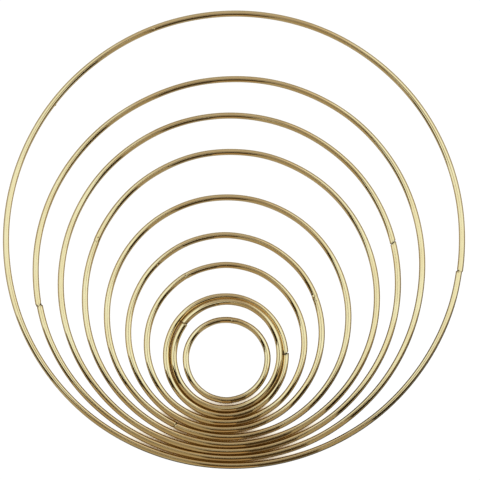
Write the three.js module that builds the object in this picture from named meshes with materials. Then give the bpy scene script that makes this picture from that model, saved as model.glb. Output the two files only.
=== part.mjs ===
// A nested set of plain wire hoops, lying flat.
//
// Each hoop is one length of round wire, bent to a circle and closed by a butt weld. The largest hoop lies
// on the table round the origin, and every other hoop lies loose inside the one before it.
// Millimetres, +Z up, z = 0 on the table.

import * as THREE from 'three';

// ---------------------------------------------------------------- driving dimensions

const wireDiameter = 2.6;
const weldDiameter = 2.3; // dressed down, a little under the wire
const weldLength = 0.8; // along the wire
const weldClearance = 0.2; // from the weld to each end of the wire
const hoopClearance = 0.2; // the least there is between two hoops
const slideStep = 0.01; // how finely a hoop is slid into place

const wireSides = 12; // flats round the wire: one is down on the table and one is up
const wireSteps = 10; // steps along a wire for each root millimetre of its radius
const weldSides = 16;

// The hoops, from the largest inwards.
//   outside   outside diameter
//   leans     direction in which it lies against the hoop round it, degrees from +X towards +Y
//   spare     room left between the two there, past the clearance
//   rise      how much higher it lies on the side that it leans to, where it rides up on the hoop round it
//   seam      where its weld is, degrees from +X towards +Y
//   oval      how far the wire swings out and in where the hoop is oval, and the direction of its long axis
//   lobes     the same where it is three-lobed
const hoops = [
  { outside: 190.0, leans: 0, spare: 0, rise: 0, seam: -8, oval: [0.5, 19], lobes: [0, 0] },
  { outside: 160.6, leans: 262, spare: 0.2, rise: 0, seam: 191, oval: [0.9, 17], lobes: [0.4, 56] },
  { outside: 141.5, leans: 268, spare: 0, rise: 0, seam: 14, oval: [0.2, 25], lobes: [0, 0] },
  { outside: 123.3, leans: 275, spare: 0, rise: 0, seam: 157, oval: [0.15, 63], lobes: [0.1, 0] },
  { outside: 101.9, leans: 261, spare: 0.3, rise: 0, seam: 244, oval: [0.2, -14], lobes: [0, 0] },
  { outside: 82.7, leans: 260, spare: 0.1, rise: 0, seam: 22, oval: [0.1, 87], lobes: [0, 0] },
  { outside: 67.6, leans: 273, spare: 0.2, rise: 0, seam: 120, oval: [0.1, 46], lobes: [0, 0] },
  { outside: 51.9, leans: 271, spare: 0, rise: 0, seam: 2, oval: [0, 0], lobes: [0, 0] },
  { outside: 46.5, leans: 45, spare: 0, rise: 2.0, seam: 143, oval: [0.2, 63], lobes: [0, 0] },
  { outside: 36.0, leans: 270, spare: 0.7, rise: 0, seam: 83, oval: [0.15, 0], lobes: [0.1, 23] },
];

const plating = { color: '#cdb276', roughness: 0.18, metalness: 1 };
const weldMetal = { color: '#7d6a45', roughness: 0.45, metalness: 1 };

// ---------------------------------------------------------------- the line a wire follows

const radians = THREE.MathUtils.degToRad;

// Distance from a hoop's centre to the middle of its wire, in the direction angle.
function wireRadius(hoop, angle) {
  const [ovalBy, ovalAt] = hoop.oval;
  const [lobesBy, lobesAt] = hoop.lobes;
  const circle = (hoop.outside - wireDiameter) / 2;
  const oval = ovalBy * Math.cos(2 * (angle - radians(ovalAt)));
  const lobes = lobesBy * Math.cos(3 * (angle - radians(lobesAt)));
  return circle + oval + lobes;
}

// The middle of a hoop's wire between two angles, about the hoop's own centre.
class HoopLine extends THREE.Curve {
  constructor(hoop, from, to) {
    super();
    this.hoop = hoop;
    this.from = from;
    this.to = to;
  }

  getPoint(t, target = new THREE.Vector3()) {
    const angle = THREE.MathUtils.lerp(this.from, this.to, t);
    const radius = wireRadius(this.hoop, angle);
    return target.set(radius * Math.cos(angle), radius * Math.sin(angle), 0);
  }
}

// ---------------------------------------------------------------- the pieces

// A regular outline with flats all round, the given distance across them, one of them facing along x.
function flatsOutline(acrossFlats, sides) {
  const corner = acrossFlats / 2 / Math.cos(Math.PI / sides);
  const points = [];
  for (let i = 0; i < sides; i += 1) {
    const angle = (2 * Math.PI * (i + 0.5)) / sides;
    points.push(new THREE.Vector2(corner * Math.cos(angle), corner * Math.sin(angle)));
  }
  return new THREE.Shape(points);
}

// The wire: bent round from one side of the weld to the other, with square-cut ends.
function makeWire(hoop) {
  const seam = radians(hoop.seam);
  const seamRadius = wireRadius(hoop, seam);
  const endAngle = (weldLength / 2 + weldClearance) / seamRadius;
  const line = new HoopLine(hoop, seam + endAngle, seam + 2 * Math.PI - endAngle);
  const steps = Math.round(wireSteps * Math.sqrt(seamRadius));
  const outline = flatsOutline(wireDiameter, wireSides);
  return new THREE.ExtrudeGeometry(outline, { steps, extrudePath: line });
}

// The weld: a short crowned disc on the wire's line, between the two ends.
function makeWeld(hoop) {
  const crown = weldDiameter / 2;
  const edge = crown * 0.85;
  const half = weldLength / 2;
  const profile = [
    new THREE.Vector2(0, -half),
    new THREE.Vector2(edge, -half),
    new THREE.Vector2(crown, 0),
    new THREE.Vector2(edge, half),
    new THREE.Vector2(0, half),
  ];
  const disc = new THREE.LatheGeometry(profile, weldSides);
  const seam = radians(hoop.seam);
  disc.translate(wireRadius(hoop, seam), 0, 0);
  return disc.rotateZ(seam);
}

// ---------------------------------------------------------------- how the hoops lie

// How much higher a hoop's wire lies in the direction angle than on its lowest side.
function wireRise(hoop, angle) {
  return (hoop.rise * (1 + Math.cos(angle - radians(hoop.leans)))) / 2;
}

// For each degree round the inner hoop: how far its wire is from the outer hoop's, middle to middle and seen
// from above, and how much higher it is. Its centre is moved from the outer hoop's by shift.
function compareWires(outer, inner, shift) {
  return Array.from({ length: 360 }, (_, degree) => {
    const angle = radians(degree);
    const radius = wireRadius(inner, angle);
    const x = shift.x + radius * Math.cos(angle);
    const y = shift.y + radius * Math.sin(angle);
    const outwards = Math.atan2(y, x);
    const apart = wireRadius(outer, outwards) - Math.hypot(x, y);
    const higher = wireRise(inner, angle) - wireRise(outer, outwards);
    return { apart, higher };
  });
}

// Slides a hoop back from the hoop round it, on the side it leans to, until it is clear of it all round.
// Gives the shift of its centre, or null where it doesn't fit.
function nestInside(outer, inner) {
  const pitch = wireDiameter + hoopClearance + inner.spare;
  const lean = radians(inner.leans);
  const direction = new THREE.Vector2(Math.cos(lean), Math.sin(lean));
  for (let slid = (outer.outside - inner.outside) / 2; slid >= 0; slid -= slideStep) {
    const shift = direction.clone().multiplyScalar(slid);
    const wires = compareWires(outer, inner, shift);
    if (wires.every(({ apart, higher }) => Math.hypot(Math.max(0, apart), higher) >= pitch)) {
      return shift;
    }
  }
  return null;
}

// How high a hoop's lowest side comes to lie when it is dropped on the hoops already laid.
function dropOn(laid, hoop, centre) {
  const pitch = wireDiameter + hoopClearance;
  let height = 0;
  laid.forEach((below) => {
    compareWires(below.hoop, hoop, centre.clone().sub(below.centre)).forEach(({ apart, higher }) => {
      const over = Math.sqrt(Math.max(0, pitch ** 2 - apart ** 2));
      if (over > 0) {
        height = Math.max(height, below.height + over - higher);
      }
    });
  });
  return height;
}

// Lays the hoops from the largest inwards, each inside the one before it. A hoop that doesn't fit there is
// laid flat and on top, with the same centre.
function layHoops() {
  const origin = new THREE.Vector2(0, 0);
  const laid = [];
  hoops.forEach((size) => {
    const before = laid.at(-1);
    const shift = before ? nestInside(before.hoop, size) : null;
    const hoop = shift ? size : { ...size, rise: 0 };
    const centre = new THREE.Vector2().add(before?.centre ?? origin).add(shift ?? origin);
    laid.push({ hoop, centre, height: dropOn(laid, hoop, centre) });
  });
  return laid;
}

function makeMesh(name, geometry, finish) {
  const mesh = new THREE.Mesh(geometry, new THREE.MeshStandardMaterial(finish));
  mesh.name = name;
  return mesh;
}

// Puts a hoop's group in its place, tipped so that its wire is higher by its rise on the side it leans to.
function placeHoop(place, { hoop, centre, height }) {
  const lean = radians(hoop.leans);
  const tilt = Math.asin(hoop.rise / (2 * wireRadius(hoop, lean)));
  const halfFlat = Math.PI / wireSides;
  const foot = (wireDiameter / 2 / Math.cos(halfFlat)) * Math.cos(halfFlat - tilt);
  place.position.set(centre.x, centre.y, height + foot + hoop.rise / 2);
  place.quaternion.setFromAxisAngle(new THREE.Vector3(Math.sin(lean), -Math.cos(lean), 0), tilt);
}

// ---------------------------------------------------------------- the set

const group = new THREE.Group();
layHoops().forEach((lying, index) => {
  const name = `hoop_${String(index + 1).padStart(2, '0')}`;
  const place = new THREE.Group();
  placeHoop(place, lying);
  place.add(makeMesh(`${name}_wire`, makeWire(lying.hoop), plating));
  place.add(makeMesh(`${name}_weld`, makeWeld(lying.hoop), weldMetal));
  group.add(place);
});

export default group;
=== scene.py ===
"""Wreath frame: ten graded wire hoops, nested so that they gather at one side, dressed for rendering.

Each hoop is one length of drawn steel wire, bent round, butt-welded at one seam and brass plated. The
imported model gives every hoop's place, size and seam. This script lays a finely divided round wire on
each of those centrelines, closes its seam with a weld bead, and plates both.
"""

import logging
import math
from dataclasses import dataclass, field
from enum import Enum
from typing import Any, Sequence

import bpy
import numpy as np
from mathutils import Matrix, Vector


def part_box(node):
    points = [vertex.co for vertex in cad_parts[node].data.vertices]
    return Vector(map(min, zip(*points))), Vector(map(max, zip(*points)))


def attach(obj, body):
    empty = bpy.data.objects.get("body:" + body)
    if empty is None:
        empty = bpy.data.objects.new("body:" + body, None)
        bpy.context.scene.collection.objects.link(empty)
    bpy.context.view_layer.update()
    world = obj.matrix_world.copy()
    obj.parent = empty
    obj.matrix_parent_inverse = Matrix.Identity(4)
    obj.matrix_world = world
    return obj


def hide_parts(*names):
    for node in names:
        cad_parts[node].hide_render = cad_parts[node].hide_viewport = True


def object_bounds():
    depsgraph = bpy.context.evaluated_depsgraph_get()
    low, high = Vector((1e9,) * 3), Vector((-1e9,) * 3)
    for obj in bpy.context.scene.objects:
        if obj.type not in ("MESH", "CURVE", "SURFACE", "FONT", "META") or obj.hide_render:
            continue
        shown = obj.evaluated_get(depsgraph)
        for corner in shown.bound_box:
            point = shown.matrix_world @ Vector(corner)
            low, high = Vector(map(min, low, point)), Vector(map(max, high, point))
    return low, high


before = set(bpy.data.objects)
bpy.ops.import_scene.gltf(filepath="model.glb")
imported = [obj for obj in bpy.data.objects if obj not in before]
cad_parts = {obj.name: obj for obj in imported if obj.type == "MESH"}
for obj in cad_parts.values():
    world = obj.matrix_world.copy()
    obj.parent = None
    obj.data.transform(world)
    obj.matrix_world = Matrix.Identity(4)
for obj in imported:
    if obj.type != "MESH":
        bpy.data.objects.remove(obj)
CAD_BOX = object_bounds()

LOG = logging.getLogger("wreath_frame")
MM = 0.001
TAU = 2.0 * math.pi
UP = np.array([0.0, 0.0, 1.0])
FIRST_WIRE = "hoop_01_wire"
# Height angles, from high to low, at which a panel's edges and brightness are given.
HEIGHTS_DEG = (68.0, 44.0, 19.0)


# ---------------------------------------------------------------- colour and node helpers


def linear(colour: str) -> tuple[float, float, float, float]:
    """Turns an sRGB hex colour into the linear values that a shader wants.

    Args:
        colour: Six hex digits, with or without a leading hash.

    Returns:
        Linear red, green and blue, and an alpha of one.
    """
    digits = colour.lstrip("#")
    srgb = np.array([int(digits[i : i + 2], 16) for i in (0, 2, 4)]) / 255.0
    flat = np.where(srgb <= 0.04045, srgb / 12.92, ((srgb + 0.055) / 1.055) ** 2.4)
    return (float(flat[0]), float(flat[1]), float(flat[2]), 1.0)


def add_node(
    tree: bpy.types.NodeTree,
    kind: str,
    settings: dict[str, Any] | None = None,
    inputs: dict[Any, Any] | None = None,
) -> bpy.types.Node:
    """Adds one node with its settings, its constants and its links.

    Args:
        tree: The node tree of a material or of the world.
        kind: Blender's name for the node's type.
        settings: Properties of the node itself.
        inputs: Value or output socket for each input socket, by name or number.

    Returns:
        The new node.
    """
    node = tree.nodes.new(kind)
    for name, value in (settings or {}).items():
        setattr(node, name, value)
    for name, value in (inputs or {}).items():
        if isinstance(value, bpy.types.NodeSocket):
            tree.links.new(value, node.inputs[name])
        else:
            node.inputs[name].default_value = value
    return node


def set_stops(node: bpy.types.Node, stops: Sequence[tuple[float, str]]) -> bpy.types.Node:
    """Gives a colour ramp its stops.

    Args:
        node: A colour ramp node.
        stops: Position and sRGB hex colour of each stop, in rising order.

    Returns:
        The same node.
    """
    ramp = node.color_ramp
    while len(ramp.elements) < len(stops):
        ramp.elements.new(1.0)
    for element, (position, colour) in zip(ramp.elements, stops):
        element.position = position
        element.color = linear(colour)
    return node


def blank_material(name: str) -> tuple[bpy.types.Material, bpy.types.NodeTree]:
    """Makes an empty node material.

    Args:
        name: The finish's plain name.

    Returns:
        The material and its emptied node tree.
    """
    material = bpy.data.materials.new(name)
    material.use_nodes = True
    material.node_tree.nodes.clear()
    return material, material.node_tree


# ---------------------------------------------------------------- finishes


@dataclass(frozen=True)
class BrassPlatedWire:
    """Low-carbon steel wire, drawn through dies, then barrel plated with thin bright brass.

    Drawing leaves fine lines along the wire, so a highlight spreads across the wire and stays narrow
    along it. The plating is pale and slightly uneven in tone, and heat has browned it beside the weld.
    """

    plate: str = "F3DCAC"
    rich: str = "EACD97"
    scorched: str = "33251A"
    roughness: float = 0.06
    anisotropy: float = 0.5
    tone_patch_mm: float = 22.0
    line_pitch_mm: float = 0.5
    line_length_mm: float = 30.0
    line_depth_mm: float = 0.028
    smoother: float = 0.03
    rougher: float = 0.04
    scorch_dulling: float = 0.3

    def material(self) -> bpy.types.Material:
        """Builds the plated wire's material from the wire's own attributes and UV map.

        Returns:
            The material.
        """
        material, tree = blank_material("brass plated drawn wire")
        place = add_node(tree, "ShaderNodeTexCoord")
        lay = add_node(tree, "ShaderNodeAttribute", {"attribute_name": "lay"})
        scorch = add_node(tree, "ShaderNodeAttribute", {"attribute_name": "scorch"})
        # Patches of slightly richer plating, as long as a finger is wide.
        patches = add_node(
            tree,
            "ShaderNodeTexNoise",
            {"noise_dimensions": "3D"},
            {
                "Vector": place.outputs["Object"],
                "Scale": 1.0 / (self.tone_patch_mm * MM),
                "Detail": 3.0,
                "Roughness": 0.6,
            },
        )
        tone = set_stops(
            add_node(tree, "ShaderNodeValToRGB", inputs={"Fac": patches.outputs["Fac"]}),
            [(0.35, self.plate), (0.75, self.rich)],
        )
        colour = add_node(
            tree,
            "ShaderNodeMix",
            {"data_type": "RGBA"},
            {"Factor": scorch.outputs["Fac"], "A": tone.outputs["Color"], "B": linear(self.scorched)},
        )
        # Die lines run along the wire. Real ones are a few hundredths of a millimetre apart; they are
        # drawn coarser here, or no view would show them.
        along_scale = 1.0 / (self.line_length_mm * MM)
        across_scale = 1.0 / (self.line_pitch_mm * MM)
        stretch = add_node(
            tree,
            "ShaderNodeVectorMath",
            {"operation": "MULTIPLY"},
            {0: lay.outputs["Vector"], 1: (along_scale, across_scale, across_scale)},
        )
        lines = add_node(
            tree,
            "ShaderNodeTexNoise",
            {"noise_dimensions": "3D"},
            {"Vector": stretch.outputs["Vector"], "Scale": 1.0, "Detail": 1.0, "Roughness": 0.5},
        )
        ridges = add_node(
            tree,
            "ShaderNodeBump",
            inputs={
                "Strength": 1.0,
                "Distance": self.line_depth_mm * MM,
                "Height": lines.outputs["Fac"],
            },
        )
        gloss = add_node(
            tree,
            "ShaderNodeMapRange",
            inputs={
                "Value": lines.outputs["Fac"],
                "From Min": 0.3,
                "From Max": 0.7,
                "To Min": self.roughness - self.smoother,
                "To Max": self.roughness + self.rougher,
            },
        )
        dull = add_node(
            tree,
            "ShaderNodeMath",
            {"operation": "MULTIPLY_ADD"},
            {0: scorch.outputs["Fac"], 1: self.scorch_dulling, 2: gloss.outputs["Result"]},
        )
        # The tangent runs along the wire, and the quarter turn puts the highlight's spread across it.
        along = add_node(tree, "ShaderNodeTangent", {"direction_type": "UV_MAP", "uv_map": "along"})
        metal = add_node(
            tree,
            "ShaderNodeBsdfPrincipled",
            inputs={
                "Base Color": colour.outputs["Result"],
                "Metallic": 1.0,
                "Roughness": dull.outputs["Value"],
                "Anisotropic": self.anisotropy,
                "Anisotropic Rotation": 0.25,
                "Normal": ridges.outputs["Normal"],
                "Tangent": along.outputs["Tangent"],
            },
        )
        add_node(tree, "ShaderNodeOutputMaterial", inputs={"Surface": metal.outputs["BSDF"]})
        return material


@dataclass(frozen=True)
class PlatedWeldMetal:
    """Resistance-welded steel, plated over: the melt froze grainy and takes the plating thinly.

    It looks browner and duller than the wire, with small dark pits and paler crests.
    """

    crest: str = "EBD2A0"
    pit: str = "6B5230"
    scale: str = "17110B"
    roughness: float = 0.2
    pit_dulling: float = 0.2
    grain_mm: float = 0.25
    grain_depth_mm: float = 0.03

    def material(self) -> bpy.types.Material:
        """Builds the weld bead's material on Object coordinates and its scorch attribute.

        Returns:
            The material.
        """
        material, tree = blank_material("plated weld metal")
        place = add_node(tree, "ShaderNodeTexCoord")
        grain = add_node(
            tree,
            "ShaderNodeTexNoise",
            {"noise_dimensions": "3D"},
            {
                "Vector": place.outputs["Object"],
                "Scale": 1.0 / (self.grain_mm * MM),
                "Detail": 5.0,
                "Roughness": 0.7,
            },
        )
        scorch = add_node(tree, "ShaderNodeAttribute", {"attribute_name": "scorch"})
        plated = set_stops(
            add_node(tree, "ShaderNodeValToRGB", inputs={"Fac": grain.outputs["Fac"]}),
            [(0.3, self.pit), (0.5, self.crest)],
        )
        # Plating doesn't reach the bottom of a deep crevice, which stays black with scale.
        colour = add_node(
            tree,
            "ShaderNodeMix",
            {"data_type": "RGBA"},
            {"Factor": scorch.outputs["Fac"], "A": plated.outputs["Color"], "B": linear(self.scale)},
        )
        dull = add_node(
            tree,
            "ShaderNodeMapRange",
            inputs={
                "Value": grain.outputs["Fac"],
                "From Min": 0.35,
                "From Max": 0.7,
                "To Min": self.roughness + self.pit_dulling,
                "To Max": self.roughness,
            },
        )
        rough = add_node(
            tree,
            "ShaderNodeBump",
            inputs={
                "Strength": 0.5,
                "Distance": self.grain_depth_mm * MM,
                "Height": grain.outputs["Fac"],
            },
        )
        metal = add_node(
            tree,
            "ShaderNodeBsdfPrincipled",
            inputs={
                "Base Color": colour.outputs["Result"],
                "Metallic": 1.0,
                "Roughness": dull.outputs["Result"],
                "Normal": rough.outputs["Normal"],
            },
        )
        add_node(tree, "ShaderNodeOutputMaterial", inputs={"Surface": metal.outputs["BSDF"]})
        return material


# ---------------------------------------------------------------- mesh helpers


def skin(name: str, rings: np.ndarray, first: np.ndarray, last: np.ndarray) -> bpy.types.Mesh:
    """Makes a closed tube from rings of points, with a pole at each end.

    Neighbouring rings are joined by quads that close round the tube, and each end ring is joined to
    its pole by triangles. Every face points outwards when the rings turn clockwise as seen against
    the direction of travel.

    Args:
        name: The mesh's name.
        rings: Points as (ring, point round it, xyz).
        first: The pole before the first ring.
        last: The pole after the last ring.

    Returns:
        The smooth-shaded mesh.
    """
    count, around = rings.shape[:2]
    points = np.concatenate([rings.reshape(-1, 3), first[None], last[None]])
    here = np.arange(around)
    after = (here + 1) % around
    row = np.arange(count - 1)[:, None] * around
    quads = np.stack([row + here, row + after, row + around + after, row + around + here], axis=-1)
    end = (count - 1) * around
    start_fan = np.stack([np.full(around, count * around), after, here], axis=-1)
    end_fan = np.stack([np.full(around, count * around + 1), end + here, end + after], axis=-1)
    faces = quads.reshape(-1, 4).tolist() + start_fan.tolist() + end_fan.tolist()
    mesh = bpy.data.meshes.new(name)
    mesh.from_pydata(points.tolist(), [], faces)
    mesh.shade_smooth()
    return mesh


def add_object(name: str, mesh: bpy.types.Mesh, material: bpy.types.Material) -> bpy.types.Object:
    """Puts a mesh into the scene under its name with one material.

    Args:
        name: The object's name.
        mesh: Its mesh.
        material: Its only material.

    Returns:
        The new object, at the origin.
    """
    piece = bpy.data.objects.new(name, mesh)
    piece.data.materials.append(material)
    bpy.context.scene.collection.objects.link(piece)
    return piece


def node_points(node: str) -> np.ndarray:
    """Reads the corner points of a CAD node.

    Args:
        node: The node's name.

    Returns:
        Each point once, as rows of xyz in metres.
    """
    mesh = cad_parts[node].data
    flat = np.empty(len(mesh.vertices) * 3)
    mesh.vertices.foreach_get("co", flat)
    return np.unique(flat.reshape(-1, 3).round(7), axis=0)


def box_centre(node: str) -> np.ndarray:
    """Gives the middle of a CAD node's box."""
    low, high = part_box(node)
    return (np.array(low) + np.array(high)) / 2.0


# ---------------------------------------------------------------- the hoops


class Spot(Enum):
    """Where round the wire a mark sits, as an angle in degrees from straight outwards over the top."""

    OUTER = 0.0
    OUTER_SHOULDER = 40.0
    TOP = 90.0
    INNER_SHOULDER = 140.0
    INNER = 180.0


@dataclass(frozen=True)
class Mark:
    """A small dent, nick or lump on a wire.

    Attributes:
        ahead_mm: Distance along the wire from the seam, negative behind it.
        spot: Where it sits round the wire.
        height_mm: How far it stands out, negative for a dent.
        length_mm: Its half length along the wire.
        width_mm: Its half width round the wire.
        soot: How brown it is, from 0 to 1.
    """

    ahead_mm: float
    spot: Spot
    height_mm: float
    length_mm: float = 0.3
    width_mm: float = 0.4
    soot: float = 0.0


@dataclass(frozen=True)
class Seam:
    """How the two wire ends of a hoop meet at its weld.

    Attributes:
        crevice_mm: Width of the open groove between the ends.
        groove_mm: How far the weld bead lies below the wire's surface.
        skew_mm: How much further on the cut lies at the outer side than at the middle.
        bow_mm: How much further on the cut lies at both sides than at the top.
        step_mm: How far outwards the wire after the seam stands from the wire before it.
        lift_mm: How far above the wire before the seam the wire after it stands.
        lip_mm: Rounding of the wire ends' edges.
        heat: How brown the weld's heat has left the wire beside it, from 0 to 1.
    """

    crevice_mm: float = 0.03
    groove_mm: float = 0.012
    skew_mm: float = 0.0
    bow_mm: float = 0.0
    step_mm: float = 0.0
    lift_mm: float = 0.0
    lip_mm: float = 0.03
    heat: float = 0.08


@dataclass
class Hoop:
    """One hoop: its wire and the weld bead that closes it.

    The centreline's distance from the hoop's middle is a mean radius plus slow waves round the turn,
    and its height is a level plus one slow wave, which tilts it. Both are fitted to the CAD wire.

    Attributes:
        number: Its place in the set, from the largest inwards.
        seam: How its two wire ends meet.
        marks: Its small dents, nicks and lumps.
        waves: The most waves round the turn that its centreline is fitted with.
        around: Points round the wire.
        pitch_mm: Distance between the wire's rings on a plain stretch.
        fine_mm: The same near the seam and near a mark.
        fine_reach_mm: How far the fine rings go to either side.
        ease_mm: Length over which a step at the seam fades.
        cut_fade_mm: Length over which the cut's slant fades.
        heat_mm: Length over which the browning beside the weld fades.
        kink_mm: Height of the small waves that a drawn wire keeps.
        nudge_mm: Half the distance over which a direction along the wire is measured.
        bead_mm: How much longer the bead is than the crevice.
        bead_around: Points round the bead.
        bead_rings: Rings along the bead.
        bead_reach: Share of the bead's half length that its rings fill, before the poles close it.
        scaled_mm: Depth of groove at which the bead is all black.
    """

    number: int
    seam: Seam = field(default_factory=Seam)
    marks: tuple[Mark, ...] = ()
    waves: int = 3
    around: int = 48
    pitch_mm: float = 0.8
    fine_mm: float = 0.12
    fine_reach_mm: float = 3.0
    ease_mm: float = 9.0
    cut_fade_mm: float = 1.2
    heat_mm: float = 0.6
    kink_mm: float = 0.02
    nudge_mm: float = 0.05
    bead_mm: float = 0.5
    bead_around: int = 32
    bead_rings: int = 15
    bead_reach: float = 0.97
    scaled_mm: float = 0.4

    def __post_init__(self) -> None:
        """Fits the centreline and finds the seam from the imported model."""
        low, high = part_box(FIRST_WIRE)
        self.wire_radius = (high[2] - low[2]) / 2.0
        self.middle = box_centre(self.wire_node)
        points = node_points(self.wire_node) - self.middle
        turn = np.arctan2(points[:, 1], points[:, 0])
        reach = np.hypot(points[:, 0], points[:, 1])
        self.reach = np.linalg.lstsq(self.harmonics(turn, self.waves), reach, rcond=None)[0]
        self.level = np.linalg.lstsq(self.harmonics(turn, 1), points[:, 2], rcond=None)[0]
        weld = box_centre(self.weld_node) - self.middle
        self.seam_turn = math.atan2(weld[1], weld[0])
        self.radius = float(self.reach[0])
        self.length = TAU * self.radius
        chance = np.random.default_rng(40 + self.number)
        self.kinks = chance.uniform(-1.0, 1.0, (2, 6))

    @property
    def body(self) -> str:
        """Name of the body, and of its pieces' common stem."""
        return f"hoop_{self.number:02d}"

    @property
    def wire_node(self) -> str:
        """Name of the CAD node of the wire."""
        return f"{self.body}_wire"

    @property
    def weld_node(self) -> str:
        """Name of the CAD node of the weld."""
        return f"{self.body}_weld"

    @staticmethod
    def harmonics(turn: np.ndarray, waves: int) -> np.ndarray:
        """Works out the waves that a centreline is made of.

        Args:
            turn: Angles round the hoop.
            waves: The highest whole multiple of the turn.

        Returns:
            A column of ones, then the cosine and sine of each whole multiple of the turn.
        """
        columns = [np.ones_like(turn)]
        for wave in range(1, waves + 1):
            columns += [np.cos(wave * turn), np.sin(wave * turn)]
        return np.stack(columns, axis=-1)

    def line(self, ahead: np.ndarray) -> np.ndarray:
        """Centreline points.

        The point at a turn t lies at the fitted reach(t) from the middle and at the fitted level(t).
        A drawn wire is never quite true, so slow sines of a few hundredths of a millimetre are added
        to both.

        Args:
            ahead: Distances along the wire from the seam, in metres.

        Returns:
            Points in the row frame, one row each.
        """
        turn = self.seam_turn + ahead / self.radius
        waves = np.arange(5, 5 + 2 * self.kinks.shape[1], 2)
        drift = np.sin(turn[:, None] * waves) @ self.kinks.T * self.kink_mm * MM
        reach = self.harmonics(turn, self.waves) @ self.reach + drift[:, 0]
        level = self.harmonics(turn, 1) @ self.level
        flat = np.stack([reach * np.cos(turn), reach * np.sin(turn), level], axis=-1)
        return flat + self.middle

    def axes(self, ahead: np.ndarray) -> tuple[np.ndarray, np.ndarray, np.ndarray]:
        """Works out the wire's own directions from the centreline's points just before and after.

        Args:
            ahead: Distances along the wire from the seam, in metres.

        Returns:
            Unit vectors along the wire, outwards from the hoop and up, one row for each distance.
        """
        nudge = self.nudge_mm * MM
        along = self.line(ahead + nudge) - self.line(ahead - nudge)
        along /= np.linalg.norm(along, axis=-1, keepdims=True)
        out = np.cross(along, UP)
        out /= np.linalg.norm(out, axis=-1, keepdims=True)
        return along, out, np.cross(out, along)

    def stations(self) -> tuple[np.ndarray, np.ndarray]:
        """Where the wire's rings stand and how full they are.

        Rings stand close together near the seam and near every mark, and further apart elsewhere. At
        each end the wire's edge is rounded by a quarter circle, and the end face closes to its middle.

        Returns:
            Distance ahead of each ring and its radius, in metres.
        """
        lip = self.seam.lip_mm * MM
        start = self.seam.crevice_mm * MM / 2.0
        stop = self.length - start
        rows = [np.arange(start + lip, stop - lip, self.pitch_mm * MM), [stop - lip]]
        reach = self.fine_reach_mm * MM
        centres = [0.0, self.length] + [mark.ahead_mm * MM % self.length for mark in self.marks]
        for centre in centres:
            rows.append(np.arange(centre - reach, centre + reach, self.fine_mm * MM))
        body = np.unique(np.concatenate(rows).round(6))
        body = body[(body >= start + lip) & (body <= stop - lip)]
        bend = np.linspace(0.0, math.pi / 2.0, 6)[:-1]
        edge = self.wire_radius - lip + lip * np.sin(bend)
        inset = lip * (1.0 - np.cos(bend))
        face = (self.wire_radius - lip) * np.array([0.25, 0.5, 0.75])
        first = np.full(len(face), start)
        last = np.full(len(face), stop)
        ahead = [first, start + inset, body, stop - inset[::-1], last]
        full = [face, edge, np.full(len(body), self.wire_radius), edge[::-1], face[::-1]]
        return np.concatenate(ahead), np.concatenate(full)

    def cut(self, across: np.ndarray) -> np.ndarray:
        """How far ahead the cut lies: skew times the side, plus bow times the side squared."""
        side = across / self.wire_radius
        return (self.seam.skew_mm * side + self.seam.bow_mm * side**2) * MM

    def place(self, ahead: np.ndarray, across: np.ndarray, high: np.ndarray) -> np.ndarray:
        """Lays points of a straight wire on the bent one.

        Near the seam a point moves along the wire with the cut's shape, which fades as an exponential,
        and sideways and up with its own end's half of the step, which fades as a bell curve.

        Args:
            ahead: Distance along the wire for each ring.
            across: Outward offset, as (ring, point).
            high: Upward offset, as (ring, point).

        Returns:
            Points as (ring, point, xyz).
        """
        behind = ahead > self.length / 2.0
        gone = np.where(behind, self.length - ahead, ahead)
        side = np.where(behind, -0.5, 0.5) * np.exp(-((gone / (self.ease_mm * MM)) ** 2))
        fade = np.exp(-gone / (self.cut_fade_mm * MM))
        axes = self.axes(ahead)
        base = self.line(ahead) + axes[1] * (side * self.seam.step_mm * MM)[:, None]
        base = base + axes[2] * (side * self.seam.lift_mm * MM)[:, None]
        shift = self.cut(across) * fade[:, None]
        return self.spread(base, axes, (shift, across, high))

    @staticmethod
    def spread(
        base: np.ndarray,
        axes: tuple[np.ndarray, np.ndarray, np.ndarray],
        offsets: tuple[np.ndarray, np.ndarray, np.ndarray],
    ) -> np.ndarray:
        """Moves rings of points off a line: each by its offsets times the line's own directions.

        Args:
            base: The line's points, one for each ring.
            axes: The line's directions along, outwards and up, one of each for each ring.
            offsets: How far each point moves along, outwards and up, as (ring, point).

        Returns:
            Points as (ring, point, xyz).
        """
        points = base[:, None]
        for axis, offset in zip(axes, offsets):
            points = points + axis[:, None] * offset[..., None]
        return points

    def marked(self, ahead: np.ndarray, round_: np.ndarray) -> tuple[np.ndarray, np.ndarray]:
        """Adds up all marks: each is a bell curve along the wire times one round it.

        Args:
            ahead: Distance ahead of each ring.
            round_: Angle of each point of a ring.

        Returns:
            Height in metres and soot from 0 to 1, as (ring, point).
        """
        height = np.zeros((len(ahead), len(round_)))
        soot = np.zeros_like(height)
        for mark in self.marks:
            off = ahead - mark.ahead_mm * MM
            off = (off + self.length / 2.0) % self.length - self.length / 2.0
            turn = round_ - math.radians(mark.spot.value)
            turn = (turn + math.pi) % TAU - math.pi
            bell = np.exp(-((off / (mark.length_mm * MM)) ** 2))[:, None]
            bell = bell * np.exp(-((turn * self.wire_radius / (mark.width_mm * MM)) ** 2))
            height += mark.height_mm * MM * bell
            soot += mark.soot * bell
        return height, np.clip(soot, 0.0, 1.0)

    def build_wire(self) -> bpy.types.Mesh:
        """Builds the wire: a circle of the wire's radius carried along the centreline.

        Returns:
            The mesh, with a UV map and a lay attribute that run along and round the wire.
        """
        ahead, full = self.stations()
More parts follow.
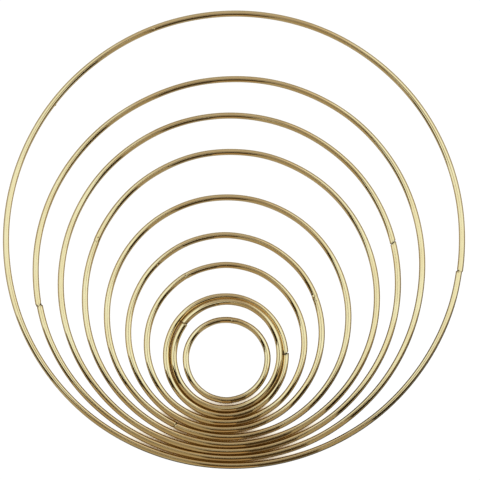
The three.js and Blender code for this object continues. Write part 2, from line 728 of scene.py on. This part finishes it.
        # The ring starts at the underside, so the UV map's edge is out of sight.
        round_ = np.linspace(0.0, TAU, self.around, endpoint=False) - math.pi / 2.0
        height, soot = self.marked(ahead, round_)
        reach = full[:, None] + height * (full / self.wire_radius)[:, None]
        across = reach * np.cos(round_)
        high = reach * np.sin(round_)
        rings = self.place(ahead, across, high)
        ends = np.array([ahead[0], ahead[-1]])
        poles = self.place(ends, np.zeros((2, 1)), np.zeros((2, 1)))[:, 0]
        mesh = skin(self.wire_node, rings, poles[0], poles[1])
        gone = np.minimum(ahead, self.length - ahead)
        heat = np.exp(-((gone / (self.heat_mm * MM)) ** 2))[:, None] * self.seam.heat
        scorch = np.clip(soot + heat, 0.0, 1.0)
        lay = np.stack(np.broadcast_arrays(ahead[:, None], across, high), axis=-1).reshape(-1, 3)
        self.write_maps(mesh, lay, scorch.reshape(-1), round_, ahead)
        return mesh

    def write_maps(
        self,
        mesh: bpy.types.Mesh,
        lay: np.ndarray,
        scorch: np.ndarray,
        round_: np.ndarray,
        ahead: np.ndarray,
    ) -> None:
        """Writes the wire's attributes.

        Args:
            mesh: The wire's mesh.
            lay: Distance along, outward offset and upward offset of each ring point.
            scorch: How heat-browned each ring point is, from 0 to 1.
            round_: Angle of each point of a ring.
            ahead: Distance ahead of each ring.
        """
        poles = np.array([[ahead[0], 0.0, 0.0], [ahead[-1], 0.0, 0.0]])
        vectors = mesh.attributes.new("lay", "FLOAT_VECTOR", "POINT")
        vectors.data.foreach_set("vector", np.concatenate([lay, poles]).astype(np.float32).ravel())
        values = mesh.attributes.new("scorch", "FLOAT", "POINT")
        ends = np.array([scorch[0], scorch[-1]])
        values.data.foreach_set("value", np.concatenate([scorch, ends]).astype(np.float32))
        corner = np.empty(len(mesh.loops), dtype=np.int64)
        mesh.loops.foreach_get("vertex_index", corner)
        around = len(round_)
        ring = np.minimum(corner // around, len(ahead) - 1)
        step = corner % around
        first = np.empty(len(mesh.polygons), dtype=np.int64)
        total = np.empty(len(mesh.polygons), dtype=np.int64)
        mesh.polygons.foreach_get("loop_start", first)
        mesh.polygons.foreach_get("loop_total", total)
        face = np.repeat(np.arange(len(first)), total)
        # The face that closes a ring ends at the ring's first point, a whole girth round.
        closing = np.zeros(len(first), dtype=bool)
        np.logical_or.at(closing, face, step == around - 1)
        wrapped = closing[face] & (step == 0)
        girth = TAU * self.wire_radius
        uv = np.stack([ahead[ring], (step + around * wrapped) / around * girth], axis=-1)
        layer = mesh.uv_layers.new(name="along")
        layer.data.foreach_set("uv", uv.astype(np.float32).ravel())

    def build_weld(self) -> bpy.types.Mesh:
        """Builds the bead: a lens between the wire ends, below the wire's surface by the groove.

        Its radius falls from the middle to both ends as a flat ellipse, and small sines round it make
        it uneven.

        Returns:
            The bead's mesh.
        """
        half = (self.seam.crevice_mm + self.bead_mm) * MM / 2.0
        sweep = np.linspace(-self.bead_reach, self.bead_reach, self.bead_rings)
        radius = self.wire_radius - self.seam.groove_mm * MM
        round_ = np.linspace(0.0, TAU, self.bead_around, endpoint=False) - math.pi / 2.0
        uneven = 1.0 + 0.03 * np.sin(3.0 * round_ + self.number) + 0.02 * np.sin(7.0 * round_)
        reach = radius * (1.0 - sweep[:, None] ** 6) ** 0.5 * uneven
        ahead = sweep * half
        rings = self.place_bead(ahead, reach * np.cos(round_), reach * np.sin(round_))
        poles = self.place_bead(np.array([-half, half]), np.zeros((2, 1)), np.zeros((2, 1)))[:, 0]
        mesh = skin(self.weld_node, rings, poles[0], poles[1])
        depth = min(self.seam.groove_mm / self.scaled_mm, 1.0)
        values = mesh.attributes.new("scorch", "FLOAT", "POINT")
        values.data.foreach_set("value", np.full(len(mesh.vertices), depth, dtype=np.float32))
        return mesh

    def place_bead(self, ahead: np.ndarray, across: np.ndarray, high: np.ndarray) -> np.ndarray:
        """Lays the bead's points at the seam, following the cut's shape, without any step.

        Args:
            ahead: Distance ahead of each ring.
            across: Outward offset, as (ring, point).
            high: Upward offset, as (ring, point).

        Returns:
            Points as (ring, point, xyz).
        """
        return self.spread(self.line(ahead), self.axes(ahead), (self.cut(across), across, high))

    def dress(self, wire: bpy.types.Material, weld: bpy.types.Material) -> list[bpy.types.Object]:
        """Makes both pieces, gives them their finish and hangs them on their body.

        Args:
            wire: Material of the wire.
            weld: Material of the bead.

        Returns:
            The two pieces.
        """
        pieces = [
            add_object(f"{self.body}_drawn_wire", self.build_wire(), wire),
            add_object(f"{self.body}_weld_bead", self.build_weld(), weld),
        ]
        nodes = (self.wire_node, self.weld_node)
        slots = ("plated_wire", "plated_weld")
        for piece, node, slot in zip(pieces, nodes, slots):
            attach(piece, self.body)
            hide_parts(node)
        return pieces


# ---------------------------------------------------------------- the studio


@dataclass(frozen=True)
class Panel:
    """One glowing panel of the light tent, between two upright edges that may lean.

    Attributes:
        name: What it stands for.
        start_deg: Compass angle of its first edge high up, half way and low down.
        stop_deg: The same for its second edge.
        glow: How brightly it glows at those three heights.
        colour: Its colour.
        low_deg: Height angle of its lower edge.
    """

    name: str
    start_deg: tuple[float, float, float]
    stop_deg: tuple[float, float, float]
    glow: tuple[float, float, float]
    colour: str = "E8F8FF"
    low_deg: float = 14.0

    def edge(self, angles: tuple[float, float, float], rise: np.ndarray) -> np.ndarray:
        """Compass angle of an edge at each height: the parabola through its three angles."""
        return np.polyval(np.polyfit(HEIGHTS_DEG, angles, 2), np.clip(rise, 10.0, 78.0))

    def light(self, rise: np.ndarray) -> np.ndarray:
        """Brightness at each height, on straight lines between the three values."""
        return np.interp(rise, HEIGHTS_DEG[::-1], self.glow[::-1])


# The warm tone of the dim screens and of the gaps between the tent's panels.
WARM = "E4C08A"
# Painted shade on the paper: its tone for each share of open sky, from dark in a narrow gap between
# wires to white on open paper.
PAPER_PAINTED_SHADE_STOPS = (
    (0.1, "3A2208"),
    (0.19, "583810"),
    (0.255, "84602C"),
    (0.3, "E0D0B0"),
    (0.35, "FCF6EA"),
    (0.43, "FFFFFF"),
)
# Painted shade on the sheet that only the metal reflects, the painted reflection of the floor, by the
# same share of open sky.
REFLECTED_FLOOR_SHADE_STOPS = (
    (0.1, "2E1C0C"),
    (0.22, "6E5030"),
    (0.38, "A09478"),
    (0.6, "BDB8A6"),
    (0.74, "D6D2C4"),
    (0.88, "FFFAEC"),
)


@dataclass
class Studio:
    """White floor, a tent of soft panels and a long lens looking straight down.

    Attributes:
        floor_m: Side of both sheets of the floor.
        tent_m: Radius of the tent.
        high_deg: Height angle at which the panels meet overhead.
        panel_points: Points along each side of a panel's grid.
        room: Brightness of the room round the tent.
        room_colour: Its colour.
        paper: Brightness of the white paper in the open.
        reflected_floor_glow: Brightness in the open of the painted floor reflection, the sheet that
            only the metal sees.
        front_dim: Share of its brightness that the painted floor reflection keeps at the front right,
            where it is painted darker.
        front: Direction of the front right, close to a unit vector.
        dims_m: How far that way the dimming starts and ends.
        gap_mm: How near a wire has to be to shade the floor.
        sky_samples: Rays that test how open the sky is.
        height_m: Height of the camera above the hoops.
        sensor_mm: Width of its sensor.
        clip_m: How far it sees.
        view_mm: Width of its view at the hoops.
        look_mm: Where it hangs, from the largest hoop's middle.
        panels: The tent's panels, anticlockwise from the east.
    """

    floor_m: float = 3.0
    tent_m: float = 0.45
    high_deg: float = 89.7
    panel_points: int = 13
    room: float = 0.4
    room_colour: str = "EEF4F6"
    paper: float = 1.06
    reflected_floor_glow: float = 0.5
    front_dim: float = 0.22
    front: tuple[float, float, float] = (0.42, -0.91, 0.0)
    dims_m: tuple[float, float] = (0.036, 0.07)
    gap_mm: float = 3.0
    sky_samples: int = 48
    height_m: float = 2.4
    sensor_mm: float = 36.0
    clip_m: float = 20.0
    view_mm: float = 198.1
    look_mm: tuple[float, float] = (2.49, -0.12)
    panels: tuple[Panel, ...] = (
        Panel("east softbox", (-46.0, -25.0, -15.0), (22.0, 48.0, 60.0), (1.2, 1.28, 1.28)),
        Panel(
            "north east edge", (22.0, 48.0, 60.0), (37.0, 65.0, 70.0), (0.6, 0.95, 0.88), "F4F0E6"
        ),
        Panel("north card", (37.0, 65.0, 70.0), (136.0, 114.0, 108.0), (0.34, 0.57, 0.7), "F2EADC"),
        Panel(
            "north west edge",
            (136.0, 114.0, 108.0),
            (148.0, 129.0, 120.0),
            (0.55, 0.75, 0.7),
            "F4F0E6",
        ),
        Panel("west softbox", (148.0, 129.0, 120.0), (220.0, 204.5, 199.0), (1.26, 1.19, 1.1)),
        Panel(
            "south west gap",
            (220.0, 204.5, 199.0),
            (234.0, 221.0, 218.0),
            (0.03, 0.03, 0.05),
            WARM,
            9.0,
        ),
        Panel(
            "south west card",
            (234.0, 221.0, 218.0),
            (260.0, 262.0, 264.0),
            (0.38, 0.43, 0.58),
            "F0E0BC",
        ),
        Panel(
            "south screen", (260.0, 262.0, 264.0), (274.0, 275.0, 276.0), (0.06, 0.18, 0.78), WARM
        ),
        Panel("south gap", (274.0, 275.0, 276.0), (291.0, 292.0, 292.0), (0.06, 0.09, 0.12), WARM),
        Panel(
            "south east card",
            (291.0, 292.0, 292.0),
            (304.0, 307.0, 307.0),
            (0.42, 0.46, 0.42),
            "F0E0BC",
        ),
        Panel(
            "south east gap",
            (304.0, 307.0, 307.0),
            (313.0, 324.5, 336.0),
            (0.03, 0.02, 0.03),
            WARM,
            9.0,
        ),
        Panel(
            "east edge", (313.0, 324.5, 336.0), (314.0, 334.0, 345.0), (0.45, 0.45, 0.45), "F0E4CC"
        ),
    )

    def build(self) -> None:
        """Builds floor, tent, surroundings and camera."""
        self.build_floor()
        for panel in self.panels:
            self.build_panel(panel)
        self.build_world()
        self.build_camera()

    def build_floor(self) -> None:
        """Lays the white paper sweep with painted shade between the wires, and a darker sheet that only
        the metal reflects, a painted reflection of the shaded floor.
        """
        # Painted shade: the paper's tone darkens where little sky reaches it, beside a wire and in
        # narrow gaps between wires.
        paper = self.lay_sheet("white paper sweep", self.paper, 0.02, PAPER_PAINTED_SHADE_STOPS, 1.0)
        paper.visible_glossy = False
        # Painted reflection: a darker sheet with painted shade, seen only in the metal's reflections in
        # place of the paper, and painted dimmer towards the front right.
        dull = self.lay_sheet("painted floor reflection", self.reflected_floor_glow, 0.01, REFLECTED_FLOOR_SHADE_STOPS, self.front_dim)
        dull.visible_camera = False
        dull.visible_diffuse = False
        dull.visible_shadow = False

    def lay_sheet(
        self,
        name: str,
        glow: float,
        below_mm: float,
        stops: Sequence[tuple[float, str]],
        kept: float,
    ) -> bpy.types.Object:
        """Lays one square glowing sheet under the hoops.

        It glows like a light table, so it shows no cast shadow. Beside a wire and in a narrow gap
        between two, where little of the sky reaches it, it takes darker tones: painted shade. Towards
        the front right it may be painted dimmer.

        Args:
            name: The sheet's name.
            glow: Its brightness in the open.
            below_mm: How far it lies below the lowest wire.
            stops: Its tone for each share of open sky, painted shade that darkens it beside wires and
                in gaps.
            kept: Share of its brightness that is left at the front right, where it is painted dimmer.

        Returns:
            The sheet.
        """
        material, tree = blank_material(name)
        material.cycles.emission_sampling = "NONE"
        sky = add_node(
            tree,
            "ShaderNodeAmbientOcclusion",
            {"samples": self.sky_samples},
            {"Distance": self.gap_mm * MM},
        )
        # Painted shade: the tone follows the share of open sky, darker beside wires and in narrow gaps.
        tone = set_stops(add_node(tree, "ShaderNodeValToRGB", inputs={"Fac": sky.outputs["AO"]}), stops)
        place = add_node(tree, "ShaderNodeTexCoord")
        forward = add_node(
            tree,
            "ShaderNodeVectorMath",
            {"operation": "DOT_PRODUCT"},
            {0: place.outputs["Object"], 1: self.front},
        )
        # Painted dimming towards the front right: it darkens the reflection sheet, while the paper
        # keeps all its brightness.
        dim = add_node(
            tree,
            "ShaderNodeMapRange",
            inputs={
                "Value": forward.outputs["Value"],
                "From Min": self.dims_m[0],
                "From Max": self.dims_m[1],
                "To Min": glow,
                "To Max": glow * kept,
            },
        )
        light = add_node(
            tree,
            "ShaderNodeEmission",
            inputs={"Color": tone.outputs["Color"], "Strength": dim.outputs["Result"]},
        )
        add_node(tree, "ShaderNodeOutputMaterial", inputs={"Surface": light.outputs["Emission"]})
        side = np.array([-0.5, 0.5]) * self.floor_m
        x, y = np.meshgrid(side, side)
        level = CAD_BOX[0][2] - below_mm * MM
        points = np.stack([x, y, np.full_like(x, level)], axis=-1).reshape(-1, 3)
        mesh = bpy.data.meshes.new(name)
        mesh.from_pydata(points.tolist(), [], [(0, 1, 3, 2)])
        sheet = add_object(name.replace(" ", "_"), mesh, material)
        return sheet

    def build_panel(self, panel: Panel) -> None:
        """Builds one panel: a patch of a sphere, facing inwards.

        Its points lie at the tent's radius in the direction of each compass angle and height angle.

        Args:
            panel: The panel's reach, glow and colour.
        """
        material, tree = blank_material(panel.name)
        material.cycles.emission_sampling = "NONE"
        level = add_node(tree, "ShaderNodeAttribute", {"attribute_name": "glow"})
        glow = add_node(
            tree,
            "ShaderNodeEmission",
            inputs={"Color": linear(panel.colour), "Strength": level.outputs["Fac"]},
        )
        add_node(tree, "ShaderNodeOutputMaterial", inputs={"Surface": glow.outputs["Emission"]})
        count = self.panel_points
        height = np.linspace(panel.low_deg, self.high_deg, count)[None, :]
        start = panel.edge(panel.start_deg, height)
        stop = panel.edge(panel.stop_deg, height)
        turn = np.radians(start + (stop - start) * np.linspace(0.0, 1.0, count)[:, None])
        rise = np.radians(height)
        points = self.tent_m * np.stack(
            np.broadcast_arrays(np.cos(turn) * np.cos(rise), np.sin(turn) * np.cos(rise), np.sin(rise)),
            axis=-1,
        )
        cells = np.arange(count - 1)
        here = (cells[:, None] * count + cells[None, :]).ravel()
        faces = np.stack([here, here + 1, here + count + 1, here + count], axis=-1)
        mesh = bpy.data.meshes.new(panel.name)
        mesh.from_pydata(points.reshape(-1, 3).tolist(), [], faces.tolist())
        values = mesh.attributes.new("glow", "FLOAT", "POINT")
        shine = np.broadcast_to(panel.light(height), turn.shape)
        values.data.foreach_set("value", shine.astype(np.float32).ravel())
        sheet = add_object(panel.name.replace(" ", "_"), mesh, material)
        sheet.visible_camera = False
        sheet.visible_shadow = False

    def build_world(self) -> None:
        """Sets the room round the tent to one even pale tone."""
        world = bpy.data.worlds.new("pale room")
        world.use_nodes = True
        tree = world.node_tree
        tree.nodes.clear()
        glow = add_node(
            tree,
            "ShaderNodeBackground",
            inputs={"Color": linear(self.room_colour), "Strength": self.room},
        )
        add_node(tree, "ShaderNodeOutputWorld", inputs={"Surface": glow.outputs["Background"]})
        world.cycles.sampling_method = "NONE"
        bpy.context.scene.world = world
        bpy.context.scene.view_settings.view_transform = "Standard"

    def build_camera(self) -> None:
        """Hangs the camera straight above the largest hoop's middle, slightly to its right."""
        data = bpy.data.cameras.new("camera")
        data.sensor_width = self.sensor_mm
        data.lens = self.sensor_mm * self.height_m / (self.view_mm * MM)
        data.clip_end = self.clip_m
        camera = bpy.data.objects.new("camera", data)
        middle = box_centre(FIRST_WIRE)
        camera.location = (
            middle[0] + self.look_mm[0] * MM,
            middle[1] + self.look_mm[1] * MM,
            middle[2] + self.height_m,
        )
        bpy.context.scene.collection.objects.link(camera)
        bpy.context.scene.camera = camera


# Short names for the two shoulders, where most marks sit.
IN = Spot.INNER_SHOULDER
OUT = Spot.OUTER_SHOULDER
HOOPS = (
    Hoop(
        1,
        Seam(step_mm=0.32, skew_mm=0.1),
        (
            Mark(0.1, IN, -0.35, 0.35, 0.6, 1.8),
            Mark(0.5, Spot.INNER, -0.2, 0.35, 0.6, 1.4),
            Mark(246.9, Spot.INNER, 0.3, 0.4, 0.35, 0.3),
            Mark(194.4, Spot.TOP, 0.06, 0.3, 0.3),
            Mark(195.6, OUT, 0.06, 0.3, 0.3),
        ),
    ),
    Hoop(
        2,
        Seam(step_mm=-0.4),
        (
            Mark(0.0, OUT, -0.35, 0.35, 0.45, 1.8),
            Mark(-0.1, Spot.OUTER, -0.3, 0.4, 0.6, 1.8),
            Mark(-0.2, IN, -0.3, 0.45, 0.5, 1.8),
            Mark(-1.0, Spot.INNER, -0.15, 0.6, 0.6, 1.4),
        ),
    ),
    Hoop(
        3,
        Seam(crevice_mm=0.32, groove_mm=0.45, skew_mm=0.7, lip_mm=0.05, heat=0.4),
        (Mark(0.5, OUT, -0.1, 0.3, 0.3, 0.5),),
    ),
    Hoop(
        4,
        Seam(step_mm=-0.12, skew_mm=-0.2, lip_mm=0.1),
        (
            Mark(-0.5, IN, -0.15, 0.25, 0.3, 1.4),
            Mark(-1.2, IN, -0.12, 0.25, 0.3, 1.2),
            Mark(-1.8, Spot.TOP, -0.06, 0.2, 0.25, 0.7),
            Mark(0.2, Spot.INNER, -0.15, 0.3, 0.45, 1.2),
        ),
    ),
    Hoop(
        5,
        Seam(crevice_mm=0.1, groove_mm=0.25, lip_mm=0.45, skew_mm=-0.3, step_mm=0.1),
        (Mark(0.1, IN, -0.3, 0.25, 0.3, 1.8), Mark(-0.5, OUT, -0.15, 0.25, 0.3, 0.8)),
    ),
    Hoop(
        6,
        Seam(step_mm=0.12, groove_mm=0.02),
        (
            Mark(0.0, IN, 0.18, 0.45, 0.5),
            Mark(-1.2, IN, -0.12, 0.3, 0.35, 1.4),
            Mark(-1.9, Spot.TOP, -0.05, 0.2, 0.2, 0.4),
            Mark(1.1, IN, -0.12, 0.35, 0.35, 1.2),
            Mark(1.9, IN, -0.08, 0.25, 0.25, 0.8),
            Mark(78.6, IN, 0.12, 0.35, 0.4),
        ),
    ),
    Hoop(
        7,
        Seam(step_mm=0.1, lift_mm=0.08, lip_mm=0.15),
        (Mark(0.1, Spot.TOP, -0.12, 0.25, 0.3, 1.4),),
    ),
    Hoop(
        8,
        Seam(
            crevice_mm=0.42,
            groove_mm=0.5,
            skew_mm=0.4,
            bow_mm=0.5,
            step_mm=-0.2,
            lip_mm=0.05,
            heat=0.6,
        ),
        (Mark(0.9, IN, -0.35, 0.4, 0.4, 1.8),),
    ),
    Hoop(
        9,
        Seam(crevice_mm=0.12, groove_mm=0.25, skew_mm=0.4, step_mm=-0.3, lip_mm=0.4),
        (Mark(-0.6, IN, -0.1, 0.3, 0.45, 1.6), Mark(-16.3, IN, 0.2, 0.35, 0.35)),
    ),
    Hoop(10, Seam(step_mm=0.1, lip_mm=0.15), (Mark(0.0, IN, 0.08, 0.3, 0.5),)),
)


def main() -> None:
    """Builds the studio and the ten hoops and reports each piece."""
    logging.basicConfig(level=logging.INFO, format="%(name)s: %(message)s")
    Studio().build()
    wire = BrassPlatedWire().material()
    weld = PlatedWeldMetal().material()
    for hoop in HOOPS:
        for piece in hoop.dress(wire, weld):
            LOG.info("%s: %d faces", piece.name, len(piece.data.polygons))


if __name__ == "__main__":
    main()
